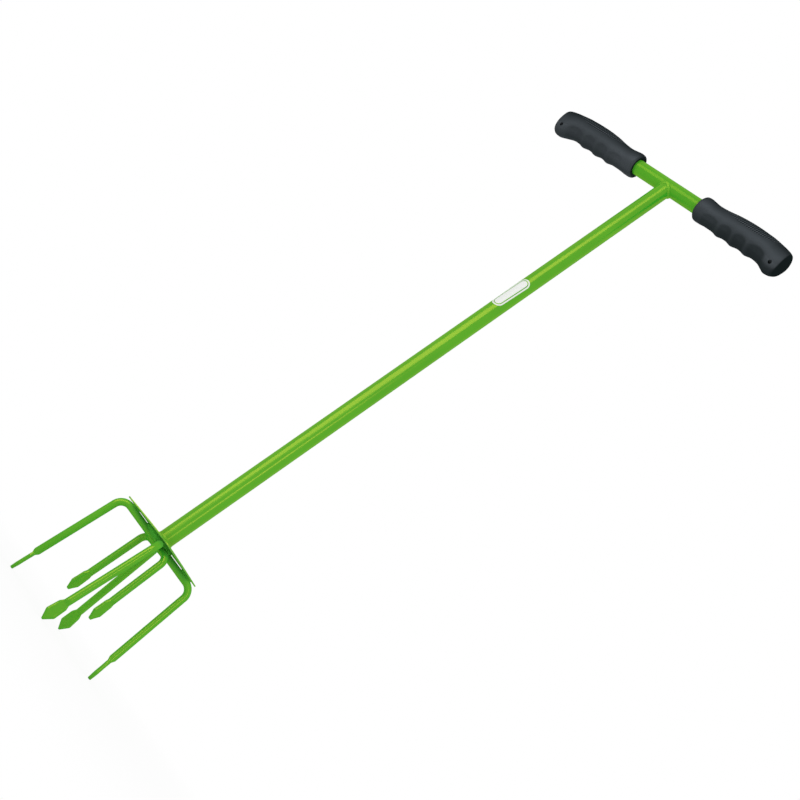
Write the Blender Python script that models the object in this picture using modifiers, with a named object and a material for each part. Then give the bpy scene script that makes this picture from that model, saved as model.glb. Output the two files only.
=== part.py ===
"""Claw cultivator: a twist cultivator with a T-handle, a bowed foot plate and six leaf-tipped tines.

Metres, +Z up. The four long tines stand on z = 0, the shaft's axis is the Z axis, and the outer tine
rod's crossbar runs along X, rising a little towards +X as it was welded. The handle is turned about
the shaft against that crossbar.
"""
import math

import bmesh
import bpy
from mathutils import Matrix, Vector

MM = 0.001

# Clearance left between pieces that touch
SEAT_GAP = 0.3 * MM

# Shaft and handle tubes
TUBE_DIAMETER = 22.0 * MM
TUBE_WALL = 1.5 * MM
HANDLE_HEIGHT = 973.3 * MM
HANDLE_HALF_LENGTH = 195.0 * MM
HANDLE_TURN = math.radians(-35.9)

# Rise of the rods towards +X, out of square with the shaft
CLAW_SLOPE = 0.0132

# Tine rods
ROD_DIAMETER = 8.95 * MM
OUTER_ROD_HEIGHT = 145.7 * MM
LONG_TINE_RADIUS = 66.8 * MM
LONG_TINE_BEND = 13.6 * MM
LONG_TINE_SPLAY = 0.062
OUTER_TINE_LEAN = 0.0857
CROSS_TINE_LEAN = 0.0638
CROSS_ROD_DROP = 2.0 * MM
CROSS_ROD_TUCK = 3.0 * MM
FRONT_ROD_ANGLE = math.radians(-90.4)
BACK_ROD_ANGLE = math.radians(86.6)
SHORT_ROD_ANGLE = math.radians(-45.0)
SHORT_FRONT_RADIUS = 27.5 * MM
SHORT_BACK_RADIUS = 24.8 * MM
SHORT_TINE_BEND = 11.0 * MM
SHORT_FRONT_TIP_HEIGHT = 37.4 * MM
SHORT_BACK_TIP_HEIGHT = 36.1 * MM
SHORT_TINE_SPLAY = 0.035
SHORT_TINE_LEAN = 0.005
SHORT_ROD_REACH = 9.0 * MM
SHORT_BLADE_TURN = math.radians(-4.5)

# Leaf blade forged on each tine's end: widths at places along it, as shares of its length
BLADE_LENGTH = 29.6 * MM
BLADE_WIDTH = 15.1 * MM
BLADE_WIDEST_AT = 0.345
BLADE_SHOULDER_WIDTH = 13.2 * MM
BLADE_SHOULDER_AT = 0.85
BLADE_NECK_WIDTH = 8.85 * MM
BLADE_TIP_WIDTH = 2.0 * MM
BLADE_THICKNESS = 4.5 * MM
BLADE_TIP_THICKNESS = 3.6 * MM
BLADE_FULL_THICKNESS_AT = 0.25
FORGE_SLOPE = 4.5 * MM

# Foot plate, a rounded diamond bowed down at its points
PLATE_LENGTH = 129.4 * MM
PLATE_DEPTH = 52.0 * MM
PLATE_SIDE_SLOPE = 0.46
PLATE_THICKNESS = 1.6 * MM
PLATE_BOW = 1.5 * MM
PLATE_RISE = 1.8 * MM
PLATE_SLOPE = 0.0169
PLATE_POINT_DEPTH = 1.6 * MM

# Grips
GRIP_INNER_END = 57.4 * MM
GRIP_OUTER_END = 203.0 * MM
GRIP_RIDGE_HEIGHT = 2.2 * MM
GRIP_RIDGE_SPREAD = 5.2 * MM
GRIP_RIDGE_PITCH = 23.7 * MM
GRIP_FIRST_RIDGE = 45.0 * MM
GRIP_RIDGES = 3
GRIP_RIDGE_SIDE_SHARE = 0.35
GRIP_HOLE_DIAMETER = 5.0 * MM
GRIP_HOLE_FROM_END = 11.5 * MM
GRIP_HOLE_DROP = 19.5 * MM

# Grip outlines: share of the grip's length from its inner end, and distance from the tube's axis
GRIP_TOP = [
    (0.0, 16.0 * MM), (0.017, 18.8 * MM), (0.048, 19.3 * MM), (0.097, 18.3 * MM),
    (0.166, 17.2 * MM), (0.234, 17.9 * MM), (0.407, 21.8 * MM), (0.566, 23.2 * MM),
    (0.738, 22.2 * MM), (0.862, 19.2 * MM), (0.945, 16.0 * MM), (0.983, 12.8 * MM), (1.0, 9.5 * MM),
]
GRIP_UNDERSIDE = [
    (0.0, 15.5 * MM), (0.017, 17.6 * MM), (0.048, 18.2 * MM), (0.152, 18.1 * MM),
    (0.717, 18.4 * MM), (0.786, 20.0 * MM), (0.855, 25.0 * MM), (0.91, 28.3 * MM),
    (0.952, 26.8 * MM), (0.983, 23.2 * MM), (1.0, 18.5 * MM),
]
GRIP_SIDE = [
    (0.0, 15.0 * MM), (0.017, 17.2 * MM), (0.048, 17.6 * MM), (0.166, 16.2 * MM),
    (0.483, 18.0 * MM), (0.69, 17.6 * MM), (0.862, 17.0 * MM), (0.952, 15.5 * MM),
    (0.983, 13.5 * MM), (1.0, 10.5 * MM),
]
GRIP_END_STATIONS = [0.0, 0.6 * MM, 1.4 * MM, 2.5 * MM, 4.5 * MM]
GRIP_RIDGE_FADE = 1.4

# Weld beads
FOOT_WELD_LEG = 3.7 * MM
FOOT_WELD_EDGE = 0.2 * MM
HANDLE_WELD_RADIUS = 2.1 * MM
HANDLE_WELD_STANDOFF = 0.8 * MM
HUB_WELD_LEFT = 28.0 * MM
HUB_WELD_RIGHT = 19.0 * MM
HUB_WELD_DEPTH = 14.0 * MM
HUB_WELD_HEIGHT = 7.0 * MM
PLATE_WELD_RADIUS = 3.6 * MM
LEFT_WELD_FROM_END = 9.5 * MM
LEFT_WELD_LENGTH = 12.0 * MM
RIGHT_WELD_FROM_END = 7.5 * MM
RIGHT_WELD_LENGTH = 18.0 * MM

# Facets
ROD_SIDES = 16
TUBE_SIDES = 40
BEND_STEPS = 8
GRIP_SIDES = 28
GRIP_STEPS = 46
HANDLE_WELD_STEPS = 48

ROD_RADIUS = ROD_DIAMETER / 2
TUBE_RADIUS = TUBE_DIAMETER / 2
CROSS_ROD_HEIGHT = OUTER_ROD_HEIGHT - CROSS_ROD_DROP
PLATE_UNDERSIDE = OUTER_ROD_HEIGHT + ROD_RADIUS + PLATE_RISE
PLATE_TOP = PLATE_UNDERSIDE + PLATE_THICKNESS

GREEN = (0.107, 0.429, 0.025)
CHARCOAL = (0.045, 0.052, 0.055)


def remove_everything():
    for obj in list(bpy.data.objects):
        bpy.data.objects.remove(obj, do_unlink=True)


def new_collection(name):
    collection = bpy.data.collections.new(name)
    bpy.context.scene.collection.children.link(collection)
    return collection


def principled(name, color, roughness, metallic):
    material = bpy.data.materials.new(name)
    material.use_nodes = True
    shader = material.node_tree.nodes["Principled BSDF"]
    shader.inputs["Base Color"].default_value = (*color, 1.0)
    shader.inputs["Roughness"].default_value = roughness
    shader.inputs["Metallic"].default_value = metallic
    return material


def paint(obj):
    obj.data.materials.clear()
    obj.data.materials.append(principled(obj.name + "_paint", GREEN, 0.32, 0.0))


def rubber(obj):
    obj.data.materials.clear()
    obj.data.materials.append(principled(obj.name + "_rubber", CHARCOAL, 0.6, 0.0))


def add_object(name, bm, collection, smooth=True):
    """Makes a named object from a bmesh, with its faces pointing out."""
    bmesh.ops.recalc_face_normals(bm, faces=bm.faces)
    mesh = bpy.data.meshes.new(name)
    bm.to_mesh(mesh)
    bm.free()
    if smooth:
        mesh.shade_smooth()
        mesh.set_sharp_from_angle(angle=math.radians(35))
    obj = bpy.data.objects.new(name, mesh)
    collection.objects.link(obj)
    return obj


def add_cutter(name, bm, collection):
    cutter = add_object(name, bm, collection, smooth=False)
    cutter.hide_render = True
    cutter.display_type = "WIRE"
    return cutter


def cut(obj, cutter):
    boolean = obj.modifiers.new("cut " + cutter.name, "BOOLEAN")
    boolean.operation = "DIFFERENCE"
    boolean.solver = "EXACT"
    boolean.object = cutter


def cylinder(radius, start, end, sides=TUBE_SIDES):
    """A closed cylinder from start to end."""
    axis = Vector(end) - Vector(start)
    turn = axis.to_track_quat("Z", "Y").to_matrix().to_4x4()
    middle = Matrix.Translation((Vector(start) + Vector(end)) / 2)
    bm = bmesh.new()
    bmesh.ops.create_cone(
        bm, cap_ends=True, segments=sides, radius1=radius, radius2=radius,
        depth=axis.length, matrix=middle @ turn,
    )
    return bm


def smooth_through(knots, x):
    """The value at x of a smooth curve through the (x, value) knots, flat beyond the ends."""
    if x <= knots[0][0]:
        return knots[0][1]
    if x >= knots[-1][0]:
        return knots[-1][1]
    slopes = [0.0]
    for before, here, after in zip(knots, knots[1:], knots[2:]):
        left = (here[1] - before[1]) / (here[0] - before[0])
        right = (after[1] - here[1]) / (after[0] - here[0])
        slopes.append(0.0 if left * right <= 0 else 2 * left * right / (left + right))
    slopes.append(0.0)
    slopes[0] = (knots[1][1] - knots[0][1]) / (knots[1][0] - knots[0][0])
    slopes[-1] = (knots[-1][1] - knots[-2][1]) / (knots[-1][0] - knots[-2][0])
    i = max(k for k in range(len(knots) - 1) if knots[k][0] <= x)
    span = knots[i + 1][0] - knots[i][0]
    t = (x - knots[i][0]) / span
    return (
        knots[i][1] * (2 * t**3 - 3 * t**2 + 1)
        + slopes[i] * span * (t**3 - 2 * t**2 + t)
        + knots[i + 1][1] * (3 * t**2 - 2 * t**3)
        + slopes[i + 1] * span * (t**3 - t**2)
    )


def loft(rings):
    """Joins rings of points, all with one count, into a closed skin with flat ends."""
    bm = bmesh.new()
    loops = [[bm.verts.new(point) for point in ring] for ring in rings]
    for lower, upper in zip(loops, loops[1:]):
        for i in range(len(lower)):
            j = (i + 1) % len(lower)
            bm.faces.new((lower[i], lower[j], upper[j], upper[i]))
    bm.faces.new(loops[0])
    bm.faces.new(loops[-1])
    return bm


def rounded_path(corners, bend_radius):
    """Points along a bent rod: straight runs joined by arcs of one radius."""
    points = [Vector(corners[0])]
    for before, corner, after in zip(corners, corners[1:], corners[2:]):
        corner = Vector(corner)
        into = (corner - Vector(before)).normalized()
        away = (Vector(after) - corner).normalized()
        angle = into.angle(away)
        setback = bend_radius * math.tan(angle / 2)
        middle = corner + (away - into).normalized() * (bend_radius / math.cos(angle / 2))
        start = corner - into * setback - middle
        axis = into.cross(away)
        for step in range(BEND_STEPS + 1):
            points.append(middle + Matrix.Rotation(angle * step / BEND_STEPS, 3, axis) @ start)
    points.append(Vector(corners[-1]))
    return points


def straight_through(knots, x):
    """The value at x of straight lines through the (x, value) knots, flat beyond the ends."""
    if x <= knots[0][0]:
        return knots[0][1]
    for (x0, y0), (x1, y1) in zip(knots, knots[1:]):
        if x <= x1:
            return y0 + (y1 - y0) * (x - x0) / (x1 - x0)
    return knots[-1][1]


def blade_section(from_tip):
    """Half-width and half-thickness of a tine at a distance from its tip."""
    half_width = straight_through([
        (0.0, BLADE_TIP_WIDTH / 2),
        (BLADE_WIDEST_AT * BLADE_LENGTH, BLADE_WIDTH / 2),
        (BLADE_SHOULDER_AT * BLADE_LENGTH, BLADE_SHOULDER_WIDTH / 2),
        (BLADE_LENGTH, BLADE_NECK_WIDTH / 2),
        (BLADE_LENGTH + FORGE_SLOPE, ROD_RADIUS),
    ], from_tip)
    half_thickness = straight_through([
        (0.0, BLADE_TIP_THICKNESS / 2),
        (BLADE_FULL_THICKNESS_AT * BLADE_LENGTH, BLADE_THICKNESS / 2),
        (BLADE_LENGTH, BLADE_THICKNESS / 2),
        (BLADE_LENGTH + FORGE_SLOPE, ROD_RADIUS),
    ], from_tip)
    return half_width, half_thickness


def blade_stations(end, away):
    """Centre points from a tine's tip at end up to its plain round rod."""
    shares = [0.0, BLADE_FULL_THICKNESS_AT, BLADE_WIDEST_AT, BLADE_SHOULDER_AT, 1.0]
    places = [share * BLADE_LENGTH for share in shares] + [BLADE_LENGTH + FORGE_SLOPE]
    return [Vector(end) + away * place for place in places]


def rod_rings(path, tips, side, grow):
    """Sections along a rod: round on the plain rod, flattening into a leaf blade at each tip."""
    rings = []
    for i, point in enumerate(path):
        ahead = path[min(i + 1, len(path) - 1)] - path[max(i - 1, 0)]
        ahead.normalize()
        across = (side - ahead * side.dot(ahead)).normalized()
        normal = ahead.cross(across)
        half_width, half_thickness = ROD_RADIUS, ROD_RADIUS
        for tip in tips:
            half_width, half_thickness = min(
                ((half_width, half_thickness), blade_section((point - tip).length)),
                key=lambda size: size[1],
            )
        ring = []
        for k in range(ROD_SIDES):
            angle = 2 * math.pi * (k + 0.5) / ROD_SIDES
            ring.append(
                point
                + across * (half_width + grow) * math.cos(angle)
                + normal * (half_thickness + grow) * math.sin(angle)
            )
        rings.append(ring)
    return rings


def radial(angle):
    return Vector((math.cos(angle), math.sin(angle), 0.0))


def tangential(angle):
    return Vector((-math.sin(angle), math.cos(angle), 0.0))


def on_claw(point):
    """A point of the square claw, raised by the claw's slope."""
    return point + Vector((0.0, 0.0, CLAW_SLOPE * point.x))


def tine_direction(angle, splay, lean):
    """Down a tine: out from the shaft by its splay and round it by its lean."""
    square = Vector((CLAW_SLOPE, 0.0, -1.0))
    return square + radial(angle) * splay - tangential(angle) * lean


def tine_leg(angle, radius, top, tip_height, splay, lean):
    """A tine's corner, at its rod's height, and its tip."""
    corner = on_claw(radial(angle) * radius + Vector((0.0, 0.0, top)))
    down = tine_direction(angle, splay, lean)
    return corner, corner + down * (corner.z - tip_height)


def one_ended_rod(angle, radius, bend, inner, tip_height, splay, lean, blade_turn, grow):
    """A rod from near the shaft out to a corner and down one tine."""
    corner, tip = tine_leg(angle, radius, CROSS_ROD_HEIGHT, tip_height, splay, lean)
    start = on_claw(radial(angle) * inner + Vector((0.0, 0.0, CROSS_ROD_HEIGHT)))
    plain = rounded_path([start, corner, tip], bend)[:-1]
    blade = blade_stations(tip, (corner - tip).normalized())
    return loft(rod_rings(plain + blade[::-1], [tip], tangential(angle + blade_turn), grow))


def outer_rod(grow=0.0):
    """The outer rod: one crossbar with a tine down at each end."""
    right_corner, right_tip = tine_leg(
        0.0, LONG_TINE_RADIUS, OUTER_ROD_HEIGHT, 0.0, LONG_TINE_SPLAY, OUTER_TINE_LEAN)
    left_corner, left_tip = tine_leg(
        math.pi, LONG_TINE_RADIUS, OUTER_ROD_HEIGHT, 0.0, LONG_TINE_SPLAY, OUTER_TINE_LEAN)
    bent = rounded_path([left_tip, left_corner, right_corner, right_tip], LONG_TINE_BEND)[1:-1]
    left_blade = blade_stations(left_tip, (left_corner - left_tip).normalized())
    right_blade = blade_stations(right_tip, (right_corner - right_tip).normalized())
    path = left_blade + bent + right_blade[::-1]
    return loft(rod_rings(path, [left_tip, right_tip], Vector((0.0, 1.0, 0.0)), grow))


def long_cross_rod(angle, grow=0.0):
    """A long tine's own rod, butted under the outer rod's crossbar."""
    return one_ended_rod(
        angle, LONG_TINE_RADIUS, LONG_TINE_BEND, CROSS_ROD_TUCK,
        0.0, LONG_TINE_SPLAY, CROSS_TINE_LEAN, 0.0, grow)


def short_rod(angle, radius, tip_height, grow=0.0):
    """A short inner tine's rod, fitted into a corner between the crossing rods."""
    return one_ended_rod(
        angle, radius, SHORT_TINE_BEND, SHORT_ROD_REACH,
        tip_height, SHORT_TINE_SPLAY, SHORT_TINE_LEAN, SHORT_BLADE_TURN, grow)


CROSS_RODS = {"front": FRONT_ROD_ANGLE, "back": BACK_ROD_ANGLE}
SHORT_RODS = {
    "short_front": (SHORT_ROD_ANGLE, SHORT_FRONT_RADIUS, SHORT_FRONT_TIP_HEIGHT),
    "short_back": (SHORT_ROD_ANGLE + math.pi, SHORT_BACK_RADIUS, SHORT_BACK_TIP_HEIGHT),
}


def make_rod_cutters(cutters):
    """The rods' shapes grown by the seat gap, for cutting what meets them."""
    grown = {"outer": outer_rod(SEAT_GAP)}
    for name, angle in CROSS_RODS.items():
        grown[name] = long_cross_rod(angle, SEAT_GAP)
    for name, own in SHORT_RODS.items():
        grown[name] = short_rod(*own, SEAT_GAP)
    return {name: add_cutter("cut_" + name + "_rod", bm, cutters) for name, bm in grown.items()}


def make_tine_rods(parts, rod_cutters):
    outer = add_object("outer_tine_rod", outer_rod(), parts)
    paint(outer)
    for name, angle in CROSS_RODS.items():
        rod = add_object(name + "_tine_rod", long_cross_rod(angle), parts)
        cut(rod, rod_cutters["outer"])
        paint(rod)
    for name, own in SHORT_RODS.items():
        rod = add_object(name + "_tine_rod", short_rod(*own), parts)
        cut(rod, rod_cutters["outer"])
        cut(rod, rod_cutters[name.removeprefix("short_")])
        paint(rod)


def plate_half_depth(x):
    """Half the plate's depth at x: straight sides that meet a round front and back."""
    half = PLATE_LENGTH / 2
    turn = math.atan(PLATE_SIDE_SLOPE)
    sharp_depth = PLATE_SIDE_SLOPE * half
    radius = (sharp_depth - PLATE_DEPTH / 2) / (1 / math.cos(turn) - 1)
    if abs(x) < radius * math.sin(turn):
        depth = PLATE_DEPTH / 2 - radius + math.sqrt(radius**2 - x**2)
    else:
        depth = sharp_depth - PLATE_SIDE_SLOPE * abs(x)
    return max(depth, PLATE_POINT_DEPTH / 2)


def plate_level(x):
    """How far the plate at x lies above its middle."""
    return PLATE_SLOPE * x - PLATE_BOW * (2 * x / PLATE_LENGTH) ** 2


def make_plate(parts):
    bm = bmesh.new()
    bmesh.ops.create_grid(bm, x_segments=40, y_segments=2, size=1.0)
    for vert in bm.verts:
        x = vert.co.x * PLATE_LENGTH / 2
        vert.co = (x, vert.co.y * plate_half_depth(x), PLATE_TOP + plate_level(x))
    plate = add_object("foot_plate", bm, parts)
    solid = plate.modifiers.new("thickness", "SOLIDIFY")
    solid.thickness = PLATE_THICKNESS
    solid.offset = -1.0
    round_edges = plate.modifiers.new("edges", "BEVEL")
    round_edges.width = 0.3 * PLATE_THICKNESS
    round_edges.segments = 2
    round_edges.limit_method = "ANGLE"
    round_edges.angle_limit = math.radians(50)
    paint(plate)
    return plate


def plate_cutter(cutters):
    """Everything from the plate's underside up, less the seat gap, following its bow."""
    bm = bmesh.new()
    bmesh.ops.create_grid(bm, x_segments=40, y_segments=1, size=1.0)
    for vert in bm.verts:
        x = vert.co.x * PLATE_LENGTH / 2
        z = PLATE_UNDERSIDE + plate_level(x) - SEAT_GAP
        vert.co = (x, vert.co.y * PLATE_DEPTH, z)
    cutter = add_cutter("cut_plate", bm, cutters)
    solid = cutter.modifiers.new("thickness", "SOLIDIFY")
    solid.thickness = 8 * PLATE_THICKNESS
    solid.offset = 1.0
    return cutter


def make_hub_weld(parts, cutters_by_name, plate):
    """The lump of weld that ties the rods to the plate round the shaft's axis."""
    middle = (HUB_WELD_RIGHT - HUB_WELD_LEFT) / 2
    half_length = (HUB_WELD_RIGHT + HUB_WELD_LEFT) / 2
    bm = bmesh.new()
    bmesh.ops.create_uvsphere(bm, u_segments=24, v_segments=12, radius=1.0)
    size = Matrix.Diagonal((half_length, HUB_WELD_DEPTH, HUB_WELD_HEIGHT, 1.0))
    place = Matrix.Translation((middle, 0.0, OUTER_ROD_HEIGHT + ROD_RADIUS))
    bmesh.ops.transform(bm, matrix=place @ size, verts=bm.verts)
    for vert in bm.verts:
        vert.co = on_claw(vert.co)
    weld = add_object("hub_weld", bm, parts)
    cut(weld, plate)
    for cutter in cutters_by_name.values():
        cut(weld, cutter)
    paint(weld)


def make_plate_welds(parts, cutters_by_name, plate):
    """The two beads that tie the plate's ends to the outer rod's crossbar."""
    height = OUTER_ROD_HEIGHT + ROD_RADIUS
    for name, side, from_end, length in (
        ("plate_weld_left", -1, LEFT_WELD_FROM_END, LEFT_WELD_LENGTH),
        ("plate_weld_right", 1, RIGHT_WELD_FROM_END, RIGHT_WELD_LENGTH),
    ):
        outer = PLATE_LENGTH / 2 - from_end
        ends = [on_claw(Vector((side * x, 0.0, height))) for x in (outer - length, outer)]
        bm = cylinder(PLATE_WELD_RADIUS, *ends, ROD_SIDES)
        weld = add_object(name, bm, parts)
        rounding = weld.modifiers.new("ends", "BEVEL")
        rounding.width = 0.6 * PLATE_WELD_RADIUS
        rounding.segments = 3
        rounding.limit_method = "ANGLE"
        rounding.angle_limit = math.radians(60)
        cut(weld, plate)
        cut(weld, cutters_by_name["outer"])
        paint(weld)


def make_shaft(parts, cutters):
    """The shaft tube: cut off along the plate and fishmouthed to the handle tube."""
    foot = (0.0, 0.0, PLATE_UNDERSIDE)
    shaft = add_object("shaft_tube", cylinder(TUBE_RADIUS, foot, (0.0, 0.0, HANDLE_HEIGHT)), parts)
    cut(shaft, foot_cutter(cutters))
    bore = cylinder(
        TUBE_RADIUS - TUBE_WALL, (0.0, 0.0, PLATE_TOP - TUBE_DIAMETER),
        (0.0, 0.0, HANDLE_HEIGHT + TUBE_DIAMETER))
    cut(shaft, add_cutter("cut_shaft_bore", bore, cutters))
    cut(shaft, handle_cutter(cutters))
    paint(shaft)


def foot_cutter(cutters):
    """A block under the shaft's foot, its top lying along the plate's middle."""
    bm = bmesh.new()
    bmesh.ops.create_cube(bm, size=2 * TUBE_DIAMETER)
    for vert in bm.verts:
        vert.co.z += PLATE_TOP + SEAT_GAP - TUBE_DIAMETER + PLATE_SLOPE * vert.co.x
    return add_cutter("cut_shaft_foot", bm, cutters)


def handle_cutter(cutters):
    """The handle tube's outside grown by the seat gap."""
    reach = radial(HANDLE_TURN) * 2 * TUBE_DIAMETER
    axis = Vector((0.0, 0.0, HANDLE_HEIGHT))
    grown = cylinder(TUBE_RADIUS + SEAT_GAP, axis - reach, axis + reach)
    return add_cutter("cut_handle_tube", grown, cutters)


def make_foot_weld(parts):
    """The bead round the shaft's foot: a hollow-faced fillet turned about the shaft."""
    inner = TUBE_RADIUS + SEAT_GAP
    steps = 5
    outline = [(inner, SEAT_GAP), (inner, SEAT_GAP + FOOT_WELD_LEG + FOOT_WELD_EDGE)]
    for step in range(steps + 1):
        angle = math.pi / 2 * (1 - step / steps)
        reach = FOOT_WELD_LEG * (1 - math.sin(angle)) + FOOT_WELD_EDGE
        rise = FOOT_WELD_LEG * (1 - math.cos(angle)) + FOOT_WELD_EDGE
        outline.append((inner + reach, SEAT_GAP + rise))
    outline.append((outline[-1][0], SEAT_GAP))
    bm = bmesh.new()
    verts = [bm.verts.new((x, 0.0, z)) for x, z in outline]
    for a, b in zip(verts, verts[1:] + verts[:1]):
        bm.edges.new((a, b))
    mesh = bpy.data.meshes.new("shaft_foot_weld")
    bm.to_mesh(mesh)
    bm.free()
    weld = bpy.data.objects.new("shaft_foot_weld", mesh)
    weld.location = (0.0, 0.0, PLATE_TOP)
    weld.rotation_euler = (0.0, -math.atan(PLATE_SLOPE), 0.0)
    parts.objects.link(weld)
    turn = weld.modifiers.new("turned", "SCREW")
    turn.steps = TUBE_SIDES
    turn.render_steps = TUBE_SIDES
    turn.use_merge_vertices = True
    turn.merge_threshold = 0.00001
    turn.use_normal_calculate = True
    paint(weld)


def make_handle(parts, cutters):
    """The handle tube, its grips and its weld, all turned with one empty."""
    frame = bpy.data.objects.new("handle_frame", None)
    frame.location = (0.0, 0.0, HANDLE_HEIGHT)
    frame.rotation_euler = (0.0, 0.0, HANDLE_TURN)
    parts.objects.link(frame)
    tube = add_object(
        "handle_tube",
        cylinder(TUBE_RADIUS, (-HANDLE_HALF_LENGTH, 0, 0), (HANDLE_HALF_LENGTH, 0, 0)), parts)
    reach = HANDLE_HALF_LENGTH + TUBE_DIAMETER
    bore = add_cutter(
        "cut_handle_bore", cylinder(TUBE_RADIUS - TUBE_WALL, (-reach, 0, 0), (reach, 0, 0)), cutters)
    cut(tube, bore)
    paint(tube)
    bead = make_handle_weld(parts, cutters)
    for obj in (tube, bore, bead):
        obj.parent = frame
    right = make_grip("grip_right", parts, cutters)
    left = make_grip("grip_left", parts, cutters)
    left.rotation_euler = (0.0, 0.0, math.pi)
    for grip in (right, left):
        grip.parent = frame
        rubber(grip)


def make_handle_weld(parts, cutters):
    """The bead along the line where the shaft's fishmouth meets the handle tube."""
    curve = bpy.data.curves.new("handle_weld_path", "CURVE")
    curve.dimensions = "3D"
    curve.bevel_depth = HANDLE_WELD_RADIUS
    curve.bevel_resolution = 2
    spline = curve.splines.new("POLY")
    spline.points.add(HANDLE_WELD_STEPS - 1)
    spline.use_cyclic_u = True
    for k, point in enumerate(spline.points):
        angle = 2 * math.pi * k / HANDLE_WELD_STEPS
        x = TUBE_RADIUS * math.cos(angle)
        y = TUBE_RADIUS * math.sin(angle)
        drop = math.sqrt((TUBE_RADIUS + HANDLE_WELD_STANDOFF) ** 2 - y**2)
        point.co = (x, y, -drop, 1.0)
    path = bpy.data.objects.new("handle_weld_path", curve)
    parts.objects.link(path)
    bpy.context.view_layer.update()
    depsgraph = bpy.context.evaluated_depsgraph_get()
    tube = bpy.data.meshes.new_from_object(path.evaluated_get(depsgraph))
    bpy.data.objects.remove(path, do_unlink=True)
    bm = bmesh.new()
    bm.from_mesh(tube)
    bpy.data.meshes.remove(tube)
    bmesh.ops.remove_doubles(bm, verts=bm.verts, dist=0.01 * MM)
    bead = add_object("handle_weld", bm, parts)
    grown = TUBE_RADIUS + SEAT_GAP
    reach = 3 * TUBE_DIAMETER
    across = add_cutter(
        "cut_weld_handle", cylinder(grown, (-reach, 0, 0), (reach, 0, 0)), cutters)
    down = add_cutter("cut_weld_shaft", cylinder(grown, (0, 0, -reach), (0, 0, 0)), cutters)
    frame_turn = Matrix.Translation((0.0, 0.0, HANDLE_HEIGHT)) @ Matrix.Rotation(HANDLE_TURN, 4, "Z")
    for cutter in (across, down):
        cutter.matrix_world = frame_turn
        cut(bead, cutter)
    paint(bead)
    return bead


def grip_ridge(along):
    """Height of the finger ridges at a place along the grip."""
    height = 0.0
    for k in range(GRIP_RIDGES):
        offset = along - GRIP_FIRST_RIDGE - k * GRIP_RIDGE_PITCH
        height += GRIP_RIDGE_HEIGHT * math.exp(-((offset / GRIP_RIDGE_SPREAD) ** 2))
    return height


def grip_ring(along):
    """One section across the grip, taller than it is wide, with its ridge on the underside."""
    share = along / (GRIP_OUTER_END - GRIP_INNER_END)
    up, down, side = [smooth_through(line, share) for line in (GRIP_TOP, GRIP_UNDERSIDE, GRIP_SIDE)]
    ridge = grip_ridge(along)
    ring = []
    for k in range(GRIP_SIDES):
        angle = 2 * math.pi * k / GRIP_SIDES
        rise = math.sin(angle)
        below = max(-rise, 0.0) ** GRIP_RIDGE_FADE
        height = up if rise > 0 else down + ridge * below
        width = side + GRIP_RIDGE_SIDE_SHARE * ridge * below
        ring.append(Vector((GRIP_INNER_END + along, width * math.cos(angle), height * rise)))
    return ring


def grip_stations():
    """Places along the grip, closer together at its rounded ends."""
    length = GRIP_OUTER_END - GRIP_INNER_END
    inside = GRIP_STEPS - 2 * len(GRIP_END_STATIONS)
    first = GRIP_END_STATIONS[-1]
    last = length - first
    middle = [first + (last - first) * (k + 1) / (inside + 1) for k in range(inside)]
    return GRIP_END_STATIONS + middle + [length - place for place in reversed(GRIP_END_STATIONS)]


def make_grip(name, parts, cutters):
    """A soft grip: a blind socket for the tube, finger ridges below, and a hooked end with a hole."""
    grip = add_object(name, loft([grip_ring(along) for along in grip_stations()]), parts)
    socket = add_cutter(
        "cut_socket_" + name,
        cylinder(TUBE_RADIUS + SEAT_GAP, (GRIP_INNER_END - TUBE_RADIUS, 0, 0),
                 (HANDLE_HALF_LENGTH + SEAT_GAP, 0, 0)), cutters)
    place = GRIP_OUTER_END - GRIP_HOLE_FROM_END
    hole = add_cutter(
        "cut_hole_" + name,
        cylinder(GRIP_HOLE_DIAMETER / 2, (place, -TUBE_DIAMETER, -GRIP_HOLE_DROP),
                 (place, TUBE_DIAMETER, -GRIP_HOLE_DROP), 20), cutters)
    for cutter in (socket, hole):
        cutter.parent = grip
        cut(grip, cutter)
    return grip


def build():
    remove_everything()
    parts = new_collection("claw_cultivator")
    cutters = new_collection("claw_cultivator_cutters")
    rod_cutters = make_rod_cutters(cutters)
    make_tine_rods(parts, rod_cutters)
    make_plate(parts)
    plate = plate_cutter(cutters)
    make_hub_weld(parts, rod_cutters, plate)
    make_plate_welds(parts, rod_cutters, plate)
    make_shaft(parts, cutters)
    make_foot_weld(parts)
    make_handle(parts, cutters)
    bpy.context.view_layer.update()


build()
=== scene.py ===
import math

import bmesh
import bpy
from mathutils import Matrix, Vector, noise


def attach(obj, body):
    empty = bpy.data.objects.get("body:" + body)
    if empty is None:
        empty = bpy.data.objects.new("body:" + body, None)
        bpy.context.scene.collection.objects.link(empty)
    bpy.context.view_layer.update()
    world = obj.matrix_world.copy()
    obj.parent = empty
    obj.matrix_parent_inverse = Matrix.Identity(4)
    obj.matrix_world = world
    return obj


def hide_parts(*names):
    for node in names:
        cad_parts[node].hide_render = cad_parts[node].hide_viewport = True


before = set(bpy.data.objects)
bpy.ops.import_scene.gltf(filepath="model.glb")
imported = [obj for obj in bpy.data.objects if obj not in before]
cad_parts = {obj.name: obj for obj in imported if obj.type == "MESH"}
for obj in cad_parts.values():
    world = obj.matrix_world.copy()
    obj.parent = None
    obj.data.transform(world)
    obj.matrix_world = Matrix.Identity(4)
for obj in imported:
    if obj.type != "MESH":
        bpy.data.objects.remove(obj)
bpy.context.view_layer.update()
print("frame loaded with", len(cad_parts), "solids")

mm = 0.001
down = Vector((0.0, 0.0, -1.0))


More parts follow.
